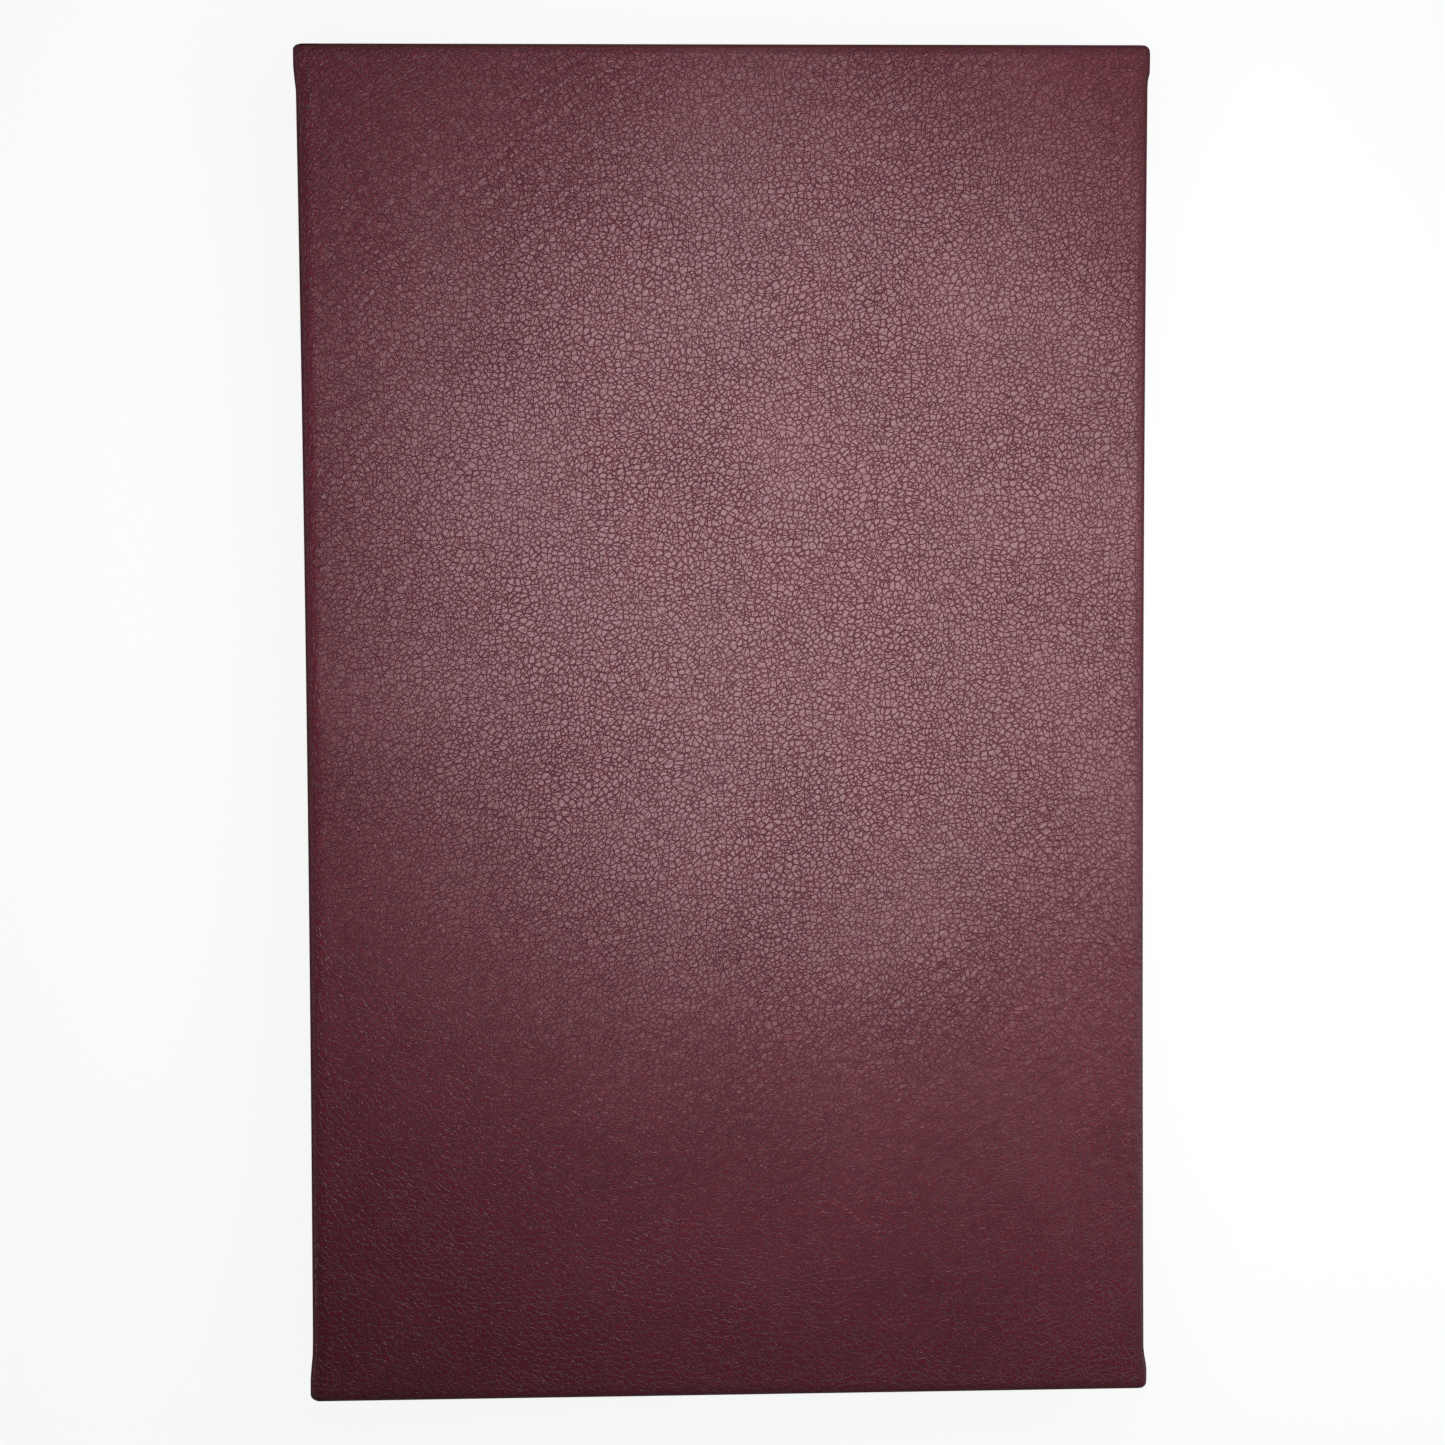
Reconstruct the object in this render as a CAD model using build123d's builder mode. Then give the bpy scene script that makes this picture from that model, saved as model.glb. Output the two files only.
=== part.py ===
from build123d import *
import math
import os

# Ring coin album lying closed on its back cover. +X runs to the fore-edge, +Y to the head and
# +Z up through the front cover. Front cover, spine and back cover hinge along the spine corners.
# Millimetres throughout. "Rise" is a height above the inner face of the spine, along +X.

# Case
CASE_WIDTH = 150.5
CASE_HEIGHT = 242.0
SKIN = 0.6                # leatherette
BOARD = 2.4               # greyboard
PAPER = 0.3               # endpapers and spine liner
INSIDE = 33.0             # clear height between the two endpapers
TURN_IN = 15.0            # leatherette folded inside the covers
SPINE_TURN_IN = 5.0       # leatherette folded inside the spine
PAPER_BORDER = 3.0        # turn-in left showing round the endpaper
CORNER_RADIUS = 1.6
EDGE_RADIUS = 0.45
JOINT_RELIEF = 1.2        # clearance of linings from the hinge corner
HALF_ARC = 44.0           # degrees of the corner arc carried by each side of a joint

# Rings and their holes in the leaves
RING_RADIUS = 12.0        # to the middle of the wire
WIRE = 2.4
RING_RISE = 15.0          # ring centre above the spine liner
RING_PITCH = 70.0
TIP_GAP = 0.2             # between the closed ring tips
LEG_OFFSET = 4.6          # wire leg from the middle of the mechanism
LEG_FOOT = 1.6            # rise of the staked end of the leg

# Carrier blades
BLADE_RISE = 2.0
BLADE = 1.0
BLADE_LENGTH = 218.4
BLADE_INNER = 0.15        # from the middle to the blade edge
BLADE_OUTER = 6.0

# Housing
HOUSING_LENGTH = 225.0
SHEET = 0.8
HOUSING_PROFILE = ((0.0, 7.5), (3.4, 7.2), (4.6, 4.6), (5.0, 2.0))   # rise, half width
SHOULDER_RADIUS = 1.2
HEM_RISE = 1.7
HEM_INNER = 6.0
SLOT_WIDTH = 3.4
SLOT_INNER = 3.0
SLOT_OUTER = 7.1
SLOT_RISE = 2.95

# Rivets
RIVET_Y = 92.0
RIVET_SHANK = 2.0         # radius
RIVET_CAP = 3.5           # radius of the domed head
RIVET_CAP_HEIGHT = 0.9
RIVET_FLAT = 4.0          # radius of the flat head let into the spine board
RIVET_FLAT_HEIGHT = 0.8
RIVET_CLEARANCE = 3.2     # radius of the opening in the blades

# Opening triggers
PIN_RISE = 1.9
PIN_Y = 110.8
PIN_RADIUS = 0.8
PIN_LENGTH = 14.9
PIN_FIT = 0.05
BOSS_RADIUS = 1.5
NOSE_LENGTH = 2.2
NOSE_BOTTOM = 1.0         # below the pin
LEVER_HALF_WIDTH = 2.4
ARM_THICKNESS = 1.2
TAB_INNER_Y = 114.0
TAB_RISE = 12.0
TAB_HALF_WIDTH = 5.0
TAB_CORNER = 2.5

# Leaves
LEAF_COUNT = 10
LEAF_PITCH = 1.7
LEAF_HEIGHT = 226.0
LEAF_CORNER = 2.0
FILM = 0.25
POCKET_GAP = 0.5
STRIP_WIDTH = 16.0
STRIP_THICKNESS = 0.6
WELD = 1.2
POCKET_WIDTH = 51.6
POCKET_ROWS = 4
POCKET_COLUMNS = 2
MOUTH_GAP = 2.5
THUMB_RADIUS = 9.0
HOLE_RADIUS = 4.0
HOLE_MARGIN = 7.5         # hole centre to the leaf edge
HOLE_OFFSET = 0.8         # hole centre beyond the wire

# Derived positions
HINGE_RADIUS = SKIN + BOARD
CASE_THICKNESS = INSIDE + 2 * (HINGE_RADIUS + SKIN + PAPER)
X_SPINE = -CASE_WIDTH / 2
X_FORE = CASE_WIDTH / 2
X_JOINT = X_SPINE + HINGE_RADIUS
X_LINER = X_JOINT + PAPER
X_RING = X_LINER + RING_RISE
HALF_Y = CASE_HEIGHT / 2
BOARD_Y = HALF_Y - SKIN
Z_MID = CASE_THICKNESS / 2
Z_BOARD = CASE_THICKNESS - HINGE_RADIUS     # inner face of the front board
Z_PAPER = Z_BOARD - SKIN - PAPER            # inner face of the front endpaper
MIDDLE = Plane.XY.offset(Z_MID)
RING_YS = (-RING_PITCH, 0.0, RING_PITCH)
ENDS = (-1, 1)
LEAF_WIDTH = STRIP_WIDTH + WELD + POCKET_COLUMNS * (POCKET_WIDTH + WELD)
LEAF_THICKNESS = 2 * FILM + POCKET_GAP


def block(x0, x1, y0, y1, z0, z1, mode=Mode.ADD):
    """A box between two opposite corners."""
    with Locations(((x0 + x1) / 2, (y0 + y1) / 2, (z0 + z1) / 2)):
        Box(x1 - x0, y1 - y0, z1 - z0, mode=mode)


def rod_x(radius, x0, x1, y, z, mode=Mode.ADD):
    """A cylinder along X."""
    with Locations(((x0 + x1) / 2, y, z)):
        Cylinder(radius, x1 - x0, rotation=(0, 90, 0), mode=mode)


def rod_z(radius, length, x, y, mode=Mode.ADD):
    """A cylinder along Z, centred on the middle of the album."""
    with Locations((x, y, Z_MID)):
        Cylinder(radius, length, mode=mode)


def opposite(part):
    """The same part on the other side of the album's middle plane."""
    with BuildPart() as twin:
        mirror(part, about=MIDDLE)
    return twin


# ---- Front cover, and the back cover as its opposite ----

with BuildPart() as front_board:
    block(X_JOINT, X_FORE - SKIN, -BOARD_Y, BOARD_Y, Z_BOARD, CASE_THICKNESS - SKIN)

# Half of the rounded hinge corner, on the cover side
with BuildPart() as corner_strip:
    with BuildSketch(Plane.XZ):
        with BuildLine():
            outer_arc = CenterArc((X_JOINT, Z_BOARD), HINGE_RADIUS, 90, HALF_ARC)
            inner_arc = CenterArc((X_JOINT, Z_BOARD), BOARD, 90, HALF_ARC)
            Line(outer_arc @ 0, inner_arc @ 0)
            Line(outer_arc @ 1, inner_arc @ 1)
        make_face()
    extrude(amount=HALF_Y, both=True)

with BuildPart() as front_leatherette:
    block(X_JOINT, X_FORE, -HALF_Y, HALF_Y, Z_BOARD - SKIN, CASE_THICKNESS)
    uprights = front_leatherette.edges().filter_by(Axis.Z)
    fillet(uprights.group_by(Axis.X)[-1], CORNER_RADIUS)
    top_edges = front_leatherette.faces().sort_by(Axis.Z)[-1].edges()
    fillet(top_edges.sort_by(Axis.X)[1:], EDGE_RADIUS)
    block(X_JOINT, X_FORE - SKIN, -BOARD_Y, BOARD_Y, Z_BOARD, CASE_THICKNESS - SKIN,
          mode=Mode.SUBTRACT)
    block(X_JOINT, X_FORE - TURN_IN, TURN_IN - HALF_Y, HALF_Y - TURN_IN, Z_BOARD - SKIN, Z_BOARD,
          mode=Mode.SUBTRACT)
    block(X_JOINT, X_JOINT + JOINT_RELIEF, -HALF_Y, HALF_Y, Z_BOARD - SKIN, Z_BOARD,
          mode=Mode.SUBTRACT)
    add(corner_strip.part)

# The endpaper laps the turn-ins and drops onto the board between them
with BuildPart() as front_endpaper:
    block(X_JOINT + JOINT_RELIEF, X_FORE - PAPER_BORDER, PAPER_BORDER - HALF_Y,
          HALF_Y - PAPER_BORDER, Z_PAPER, Z_PAPER + PAPER)
    block(X_JOINT + JOINT_RELIEF, X_FORE - TURN_IN, TURN_IN - HALF_Y, HALF_Y - TURN_IN,
          Z_PAPER, Z_BOARD)
    block(X_JOINT, X_FORE - TURN_IN - PAPER, TURN_IN + PAPER - HALF_Y, HALF_Y - TURN_IN - PAPER,
          Z_PAPER, Z_BOARD - PAPER, mode=Mode.SUBTRACT)

back_board = opposite(front_board.part)
back_leatherette = opposite(front_leatherette.part)
back_endpaper = opposite(front_endpaper.part)

# ---- Spine ----

with BuildPart() as spine_board:
    block(X_SPINE + SKIN, X_JOINT, -BOARD_Y, BOARD_Y, HINGE_RADIUS, Z_BOARD)
    for end in ENDS:
        rod_x(RIVET_SHANK, X_SPINE, X_JOINT, end * RIVET_Y, Z_MID, mode=Mode.SUBTRACT)
        rod_x(RIVET_FLAT, X_SPINE, X_SPINE + SKIN + RIVET_FLAT_HEIGHT, end * RIVET_Y, Z_MID,
              mode=Mode.SUBTRACT)

with BuildPart() as spine_leatherette:
    block(X_SPINE, X_SPINE + SKIN, -HALF_Y, HALF_Y, HINGE_RADIUS, Z_BOARD)
    for end in ENDS:
        edge_y = sorted((end * BOARD_Y, end * HALF_Y))
        fold_y = sorted((end * (HALF_Y - SPINE_TURN_IN), end * HALF_Y))
        block(X_SPINE, X_JOINT, *edge_y, HINGE_RADIUS, Z_BOARD)
        block(X_JOINT, X_JOINT + SKIN, *fold_y, HINGE_RADIUS + JOINT_RELIEF,
              Z_BOARD - JOINT_RELIEF)
    front_corner = Plane(origin=(X_JOINT, 0, Z_BOARD), z_dir=(1, 0, 1))
    mirror(corner_strip.part, about=front_corner)
    back_corner = Plane(origin=(X_JOINT, 0, HINGE_RADIUS), z_dir=(1, 0, -1))
    mirror(opposite(corner_strip.part).part, about=back_corner)

with BuildPart() as spine_liner:
    liner_y = HALF_Y - SPINE_TURN_IN
    block(X_JOINT, X_LINER, -liner_y, liner_y, HINGE_RADIUS + JOINT_RELIEF,
          Z_BOARD - JOINT_RELIEF)
    for end in ENDS:
        rod_x(RIVET_SHANK, X_JOINT, X_LINER, end * RIVET_Y, Z_MID, mode=Mode.SUBTRACT)

# ---- Ring mechanism ----

crown_rise = HOUSING_PROFILE[-1][0]

with BuildPart() as ring_housing:
    with BuildSketch(Plane.XZ.offset(-HOUSING_LENGTH / 2)) as shell_outline:
        right = [(X_LINER + rise, Z_MID + half) for rise, half in HOUSING_PROFILE]
        left = [(X_LINER + rise, Z_MID - half) for rise, half in reversed(HOUSING_PROFILE)]
        skirt = X_LINER - 2 * SHEET
        foot = HOUSING_PROFILE[0][1]
        Polygon((skirt, Z_MID + foot), *right, *left, (skirt, Z_MID - foot), align=None)
        shoulders = shell_outline.vertices().filter_by_position(Axis.X, X_LINER + SHEET, X_FORE)
        fillet(shoulders, SHOULDER_RADIUS)
        offset(amount=-SHEET, kind=Kind.ARC, mode=Mode.SUBTRACT)
        with Locations((X_LINER - 2 * SHEET, Z_MID)):
            Rectangle(4 * SHEET, 4 * foot, mode=Mode.SUBTRACT)
    extrude(amount=HOUSING_LENGTH)
    for side in ENDS:
        hem_z = sorted((Z_MID + side * HEM_INNER, Z_MID + side * (foot - SHEET / 2)))
        block(X_LINER, X_LINER + HEM_RISE, -HOUSING_LENGTH / 2, HOUSING_LENGTH / 2, *hem_z)
        slot_z = sorted((Z_MID + side * SLOT_INNER, Z_MID + side * SLOT_OUTER))
        for y in RING_YS:
            block(X_LINER + SLOT_RISE, X_LINER + 2 * crown_rise, y - SLOT_WIDTH / 2,
                  y + SLOT_WIDTH / 2, *slot_z, mode=Mode.SUBTRACT)
    for end in ENDS:
        rod_x(RIVET_SHANK, X_LINER, X_LINER + 2 * crown_rise, end * RIVET_Y, Z_MID,
              mode=Mode.SUBTRACT)
        rod_z(PIN_RADIUS, 4 * foot, X_LINER + PIN_RISE, end * PIN_Y, mode=Mode.SUBTRACT)

with BuildPart() as housing_rivets:
    for end in ENDS:
        y = end * RIVET_Y
        rod_x(RIVET_SHANK, X_SPINE + SKIN, X_LINER + crown_rise + SHEET / 2, y, Z_MID)
        rod_x(RIVET_FLAT, X_SPINE + SKIN, X_SPINE + SKIN + RIVET_FLAT_HEIGHT, y, Z_MID)
        rod_x(RIVET_CAP, X_LINER + crown_rise, X_LINER + crown_rise + RIVET_CAP_HEIGHT, y, Z_MID)
    cap_rims = housing_rivets.faces().group_by(Axis.X)[-1].edges()
    fillet(cap_rims, 0.8 * RIVET_CAP_HEIGHT)

with BuildPart() as carrier_front:
    block(X_LINER + BLADE_RISE, X_LINER + BLADE_RISE + BLADE, -BLADE_LENGTH / 2,
          BLADE_LENGTH / 2, Z_MID + BLADE_INNER, Z_MID + BLADE_OUTER)
    for y in RING_YS:
        rod_x(WIRE / 2, X_LINER, X_RING, y, Z_MID + LEG_OFFSET, mode=Mode.SUBTRACT)
    for end in ENDS:
        rod_x(RIVET_CLEARANCE, X_LINER, X_RING, end * RIVET_Y, Z_MID, mode=Mode.SUBTRACT)

leg_rise = RING_RISE - math.sqrt(RING_RADIUS ** 2 - LEG_OFFSET ** 2)
tip_angle = math.asin(TIP_GAP / 2 / RING_RADIUS)
leg_angle = math.pi - math.asin(LEG_OFFSET / RING_RADIUS)

with BuildPart() as ring_halves_front:
    tip_plane = Plane(
        origin=(X_RING, 0, Z_MID),
        x_dir=(math.cos(tip_angle), 0, math.sin(tip_angle)),
        z_dir=(-math.sin(tip_angle), 0, math.cos(tip_angle)),
    )
    with BuildSketch(tip_plane):
        with Locations(*[(RING_RADIUS, y) for y in RING_YS]):
            Circle(WIRE / 2)
    revolve(axis=Axis((X_RING, 0, Z_MID), (0, -1, 0)),
            revolution_arc=math.degrees(leg_angle - tip_angle))
    for y in RING_YS:
        rod_x(WIRE / 2, X_LINER + LEG_FOOT, X_LINER + leg_rise, y, Z_MID + LEG_OFFSET)
        with Locations((X_LINER + leg_rise, y, Z_MID + LEG_OFFSET)):
            Sphere(WIRE / 2)

carrier_back = opposite(carrier_front.part)
ring_halves_back = opposite(ring_halves_front.part)

with BuildPart() as trigger_head:
    pin_x = X_LINER + PIN_RISE
    rod_z(BOSS_RADIUS, 2 * LEVER_HALF_WIDTH, pin_x, PIN_Y)
    lever_z = (Z_MID - LEVER_HALF_WIDTH, Z_MID + LEVER_HALF_WIDTH)
    tab_z = (Z_MID - TAB_HALF_WIDTH, Z_MID + TAB_HALF_WIDTH)
    tab_y = (TAB_INNER_Y, TAB_INNER_Y + ARM_THICKNESS)
    block(pin_x - NOSE_BOTTOM, pin_x - PIN_FIT, PIN_Y - NOSE_LENGTH, PIN_Y, *lever_z)
    block(pin_x, pin_x + ARM_THICKNESS, PIN_Y, tab_y[1], *lever_z)
    block(pin_x, X_LINER + TAB_RISE, *tab_y, *tab_z)
    tab_corners = trigger_head.edges().filter_by(Axis.Y).group_by(Axis.X)[-1]
    fillet(tab_corners, TAB_CORNER)
    rod_z(PIN_RADIUS + PIN_FIT, 4 * LEVER_HALF_WIDTH, pin_x, PIN_Y, mode=Mode.SUBTRACT)

with BuildPart() as trigger_tail:
    mirror(trigger_head.part, about=Plane.XZ)

with BuildPart() as trigger_pins:
    for end in ENDS:
        rod_z(PIN_RADIUS, PIN_LENGTH, X_LINER + PIN_RISE, end * PIN_Y)


# ---- Leaves ----

def back_film(left, bottom):
    """The whole back sheet of a leaf with its thicker punched strip."""
    with BuildPart() as film:
        with BuildSketch(Plane.XY.offset(bottom)):
            with Locations((left + LEAF_WIDTH / 2, 0)):
                RectangleRounded(LEAF_WIDTH, LEAF_HEIGHT, LEAF_CORNER)
        extrude(amount=FILM)
        block(left + LEAF_CORNER, left + STRIP_WIDTH, -LEAF_HEIGHT / 2, LEAF_HEIGHT / 2,
              bottom, bottom + STRIP_THICKNESS)
        with Locations(*[(left + HOLE_MARGIN, y, bottom) for y in RING_YS]):
            Cylinder(HOLE_RADIUS, 4 * STRIP_THICKNESS, mode=Mode.SUBTRACT)
    return film


def pocket_film(left, bottom):
    """The pocket panels of a leaf and the weld lines that hold them to the back film."""
    row = LEAF_HEIGHT / POCKET_ROWS
    column = POCKET_WIDTH + WELD
    start = left + STRIP_WIDTH
    row_starts = [i * row - LEAF_HEIGHT / 2 for i in range(POCKET_ROWS)]
    weld_starts = [start + i * column for i in range(POCKET_COLUMNS + 1)]
    gap_z = (bottom + FILM, bottom + FILM + POCKET_GAP)
    film_z = (gap_z[1], gap_z[1] + FILM)
    end = weld_starts[-1] + WELD
    with BuildPart() as film:
        for x in weld_starts:
            block(x, x + WELD, -LEAF_HEIGHT / 2, LEAF_HEIGHT / 2, gap_z[0], film_z[1])
        for y in row_starts:
            block(start, end, y, y + WELD, *gap_z)
            block(start, end, y, y + row - MOUTH_GAP, *film_z)
        mouths = [(x + WELD + POCKET_WIDTH / 2, y + row - MOUTH_GAP, film_z[0])
                  for x in weld_starts[:-1] for y in row_starts]
        with Locations(*mouths):
            Cylinder(THUMB_RADIUS, 2 * FILM + POCKET_GAP, mode=Mode.SUBTRACT)
        outer_corners = film.edges().filter_by(Axis.Z).group_by(Axis.X)[-1]
        fillet(outer_corners.sort_by(Axis.Y)[0], LEAF_CORNER / 2)
        fillet(film.edges().filter_by(Axis.Z).group_by(Axis.X)[-1].sort_by(Axis.Y)[-1],
               LEAF_CORNER / 2)
    return film


leaves = {}
for number in range(1, LEAF_COUNT + 1):
    # Leaf 1 is next to the front cover
    rise = ((LEAF_COUNT + 1) / 2 - number) * LEAF_PITCH
    reach = math.sqrt(RING_RADIUS ** 2 - rise ** 2) + HOLE_OFFSET
    leaf_left = X_RING + reach - HOLE_MARGIN
    leaf_bottom = Z_MID + rise - LEAF_THICKNESS / 2
    leaves[f"leaf_{number:02d}_back_film"] = back_film(leaf_left, leaf_bottom)
    leaves[f"leaf_{number:02d}_pocket_film"] = pocket_film(leaf_left, leaf_bottom)

# ---- Export ----

nodes = {
    "front_board": front_board,
    "front_leatherette": front_leatherette,
    "front_endpaper": front_endpaper,
    "back_board": back_board,
    "back_leatherette": back_leatherette,
    "back_endpaper": back_endpaper,
    "spine_board": spine_board,
    "spine_leatherette": spine_leatherette,
    "spine_liner": spine_liner,
    "ring_housing": ring_housing,
    "housing_rivets": housing_rivets,
    "carrier_front": carrier_front,
    "carrier_back": carrier_back,
    "ring_halves_front": ring_halves_front,
    "ring_halves_back": ring_halves_back,
    "trigger_head": trigger_head,
    "trigger_tail": trigger_tail,
    "trigger_pins": trigger_pins,
    **leaves,
}

os.makedirs("parts", exist_ok=True)
for name, builder in nodes.items():
    builder.part.label = name
    export_step(builder.part, f"parts/{name}.step")
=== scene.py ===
import math

import bmesh
import bpy
import numpy as np
from mathutils import Euler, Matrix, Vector, noise


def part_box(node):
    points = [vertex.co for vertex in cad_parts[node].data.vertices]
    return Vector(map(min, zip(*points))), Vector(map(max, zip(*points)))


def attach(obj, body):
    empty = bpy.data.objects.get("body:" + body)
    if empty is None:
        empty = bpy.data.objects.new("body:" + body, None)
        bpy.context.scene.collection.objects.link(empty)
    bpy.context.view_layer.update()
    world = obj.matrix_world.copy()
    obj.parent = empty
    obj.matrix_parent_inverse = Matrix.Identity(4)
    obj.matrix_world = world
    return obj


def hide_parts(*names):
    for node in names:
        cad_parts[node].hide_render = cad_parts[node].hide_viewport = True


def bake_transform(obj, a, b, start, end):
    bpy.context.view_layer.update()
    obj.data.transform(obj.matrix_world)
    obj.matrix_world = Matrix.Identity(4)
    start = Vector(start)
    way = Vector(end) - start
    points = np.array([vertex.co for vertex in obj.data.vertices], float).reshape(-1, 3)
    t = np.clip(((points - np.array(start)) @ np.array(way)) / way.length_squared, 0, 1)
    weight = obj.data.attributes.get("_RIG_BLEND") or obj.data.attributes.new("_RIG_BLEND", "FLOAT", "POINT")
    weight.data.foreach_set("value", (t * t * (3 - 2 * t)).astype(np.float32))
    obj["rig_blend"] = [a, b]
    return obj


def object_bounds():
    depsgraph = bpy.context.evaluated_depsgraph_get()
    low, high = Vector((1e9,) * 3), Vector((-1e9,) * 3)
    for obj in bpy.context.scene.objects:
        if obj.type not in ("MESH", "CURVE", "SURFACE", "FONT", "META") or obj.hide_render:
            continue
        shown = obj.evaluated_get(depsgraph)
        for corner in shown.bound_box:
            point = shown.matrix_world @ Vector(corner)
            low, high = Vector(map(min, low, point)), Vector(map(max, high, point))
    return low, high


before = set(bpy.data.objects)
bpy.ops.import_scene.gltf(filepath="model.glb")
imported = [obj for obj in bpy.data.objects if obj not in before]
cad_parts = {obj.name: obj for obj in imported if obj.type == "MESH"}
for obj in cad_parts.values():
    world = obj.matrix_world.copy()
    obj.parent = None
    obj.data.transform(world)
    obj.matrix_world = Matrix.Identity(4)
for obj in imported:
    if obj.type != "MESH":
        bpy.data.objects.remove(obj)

# A closed coin album in burgundy leatherette. Metres; +X fore-edge, +Y head, +Z up.

cad_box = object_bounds()
MM = 0.001

# ---- Sizes read from the frame ----

board_low, board_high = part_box("front_board")
paper_low, paper_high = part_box("front_endpaper")
liner_low, liner_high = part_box("spine_liner")

THICKNESS = cad_box[1][2] - cad_box[0][2]
X_SPINE, X_FORE = cad_box[0][0], cad_box[1][0]
HALF_Y = cad_box[1][1]
X_JOINT = board_low.x             # inner hinge corner, across
Z_JOINT = board_low.z             # inner hinge corner of the front cover, up
SKIN = THICKNESS - board_high.z
JOINT_RADIUS = X_JOINT - X_SPINE
WRAP = THICKNESS - Z_JOINT + SKIN  # outer face to the face of the turn-in
TURN_IN = 15 * MM
PAPER_BORDER = X_FORE - paper_high.x

# ---- Shape of the covering ----

CORNER_RADIUS = 1.35 * MM
OUTER_ROUND = 0.85 * MM
INNER_ROUND = 0.7 * MM
JOINT_FOLD = 2.4 * MM             # leatherette folded back on itself at the ends of a joint
GRID = 2.5 * MM
CORNER_STEPS = 26
ROUND_STEPS = 6
JOINT_STEPS = 16
EDGE_BOW = 0.23 * MM              # how far the long edges pinch in at the middle
FACE_WAVE = 0.035 * MM
WAVE_LENGTH = 34 * MM
MITRE_LIFT = 0.22 * MM
MITRE_TURN = 0.12                 # radians over which one turn-in climbs on the other
RIM_WIDTH = 2.4 * MM              # rougher leatherette beside an edge, darkened there with painted shade
FACE_FADE = 12 * MM               # from the hinge corner to the full unevenness
SIDE_REACH = 12 * MM              # of an edge's bow and bulges into the face
WELD_DISTANCE = 0.004 * MM

# Doubled leather at each corner: how far it stands out, its flat length and its fade
CORNER_BULGES = {
    ("spine", "head"): (0.38 * MM, 4.6 * MM, 2.2 * MM),
    ("fore", "head"): (0.40 * MM, 4.6 * MM, 2.2 * MM),
    ("spine", "tail"): (0.46 * MM, 3.0 * MM, 6.5 * MM),
    ("fore", "tail"): (0.52 * MM, 3.4 * MM, 4.4 * MM),
}


def smooth(t):
    """A soft step from 0 to 1."""
    t = min(max(t, 0.0), 1.0)
    return t * t * (3 - 2 * t)


def settle(point):
    """Where a point of the neat case really lies: long edges pinched in, corners bulging."""
    x, y, z = point
    reach = min(abs(y) / HALF_Y, 1.0)
    bow = EDGE_BOW * (1 - 2 * (1 - reach * reach))
    end = "head" if y > 0 else "tail"
    inside = HALF_Y - abs(y)
    shift = 0.0
    for side, sign, edge in (("fore", 1, X_FORE), ("spine", -1, X_SPINE)):
        amount, flat, fade = CORNER_BULGES[side, end]
        near = smooth(1 - abs(x - edge) / SIDE_REACH)
        bulge = amount * smooth(1 - (inside - flat) / fade)
        shift += sign * near * (bow + bulge)
    return (x + shift, y, z)


def ripple(x, y, seed):
    """The slight unevenness of leatherette glued to board."""
    place = Vector((x / WAVE_LENGTH, y / WAVE_LENGTH, seed))
    fine = Vector((x / WAVE_LENGTH * 3.1, y / WAVE_LENGTH * 3.1, seed + 7))
    return FACE_WAVE * (noise.noise(place) + 0.35 * noise.noise(fine))


def spread(start, end, step):
    """Evenly spaced values from start to end, about step apart."""
    count = max(2, int(round(abs(end - start) / step)) + 1)
    return list(np.linspace(start, end, count))


# ---- Meshes ----

def new_piece(name, points, faces, layers, material):
    """A smooth-shaded object with point layers of vectors or numbers for its material to read."""
    mesh = bpy.data.meshes.new(name)
    mesh.from_pydata([tuple(p) for p in points], [], faces)
    for layer, values in layers.items():
        vector = np.ndim(values[0]) > 0
        kind, key = ("FLOAT_VECTOR", "vector") if vector else ("FLOAT", "value")
        attribute = mesh.attributes.new(layer, kind, "POINT")
        attribute.data.foreach_set(key, np.asarray(values, np.float32).ravel())
    mesh.polygons.foreach_set("use_smooth", [True] * len(mesh.polygons))
    mesh.materials.append(material)
    mesh.update()
    piece = bpy.data.objects.new(name, mesh)
    bpy.context.scene.collection.objects.link(piece)
    return piece


def weave_faces(rows, columns, first=0, flip=False):
    """Quads over a grid of points stored row by row."""
    faces = []
    for i in range(rows - 1):
        for j in range(columns - 1):
            a = first + i * columns + j
            quad = (a, a + 1, a + 1 + columns, a + columns)
            faces.append(quad[::-1] if flip else quad)
    return faces


def edge_profile(depth):
    """Stations round an edge, from the outer face to the turn-in: inset, depth, distance run."""
    stations = [(inset * MM, 0.0) for inset in (15, 11, 8, 5.5, 3.8, 2.6, 1.7)]
    for i in range(ROUND_STEPS + 1):
        turn = math.pi / 2 * i / ROUND_STEPS
        stations.append((OUTER_ROUND * (1 - math.sin(turn)), OUTER_ROUND * (1 - math.cos(turn))))
    inner = min(INNER_ROUND, depth / 2.5)
    for i in range(ROUND_STEPS + 1):
        turn = math.pi / 2 * i / ROUND_STEPS
        stations.append((inner * (1 - math.cos(turn)), depth - inner * (1 - math.sin(turn))))
    stations += [(inset * MM, depth) for inset in (2.0, 4.5, 8, 12, 14.7)]
    stations += [(TURN_IN, depth - 0.2 * MM), (TURN_IN, depth - SKIN)]
    run, out = 0.0, []
    for i, station in enumerate(stations):
        if i:
            run += math.dist(station, stations[i - 1])
        out.append((*station, run))
    silhouette = out[7 + ROUND_STEPS][2]
    return [(inset, down, distance - silhouette) for inset, down, distance in out]


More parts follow.
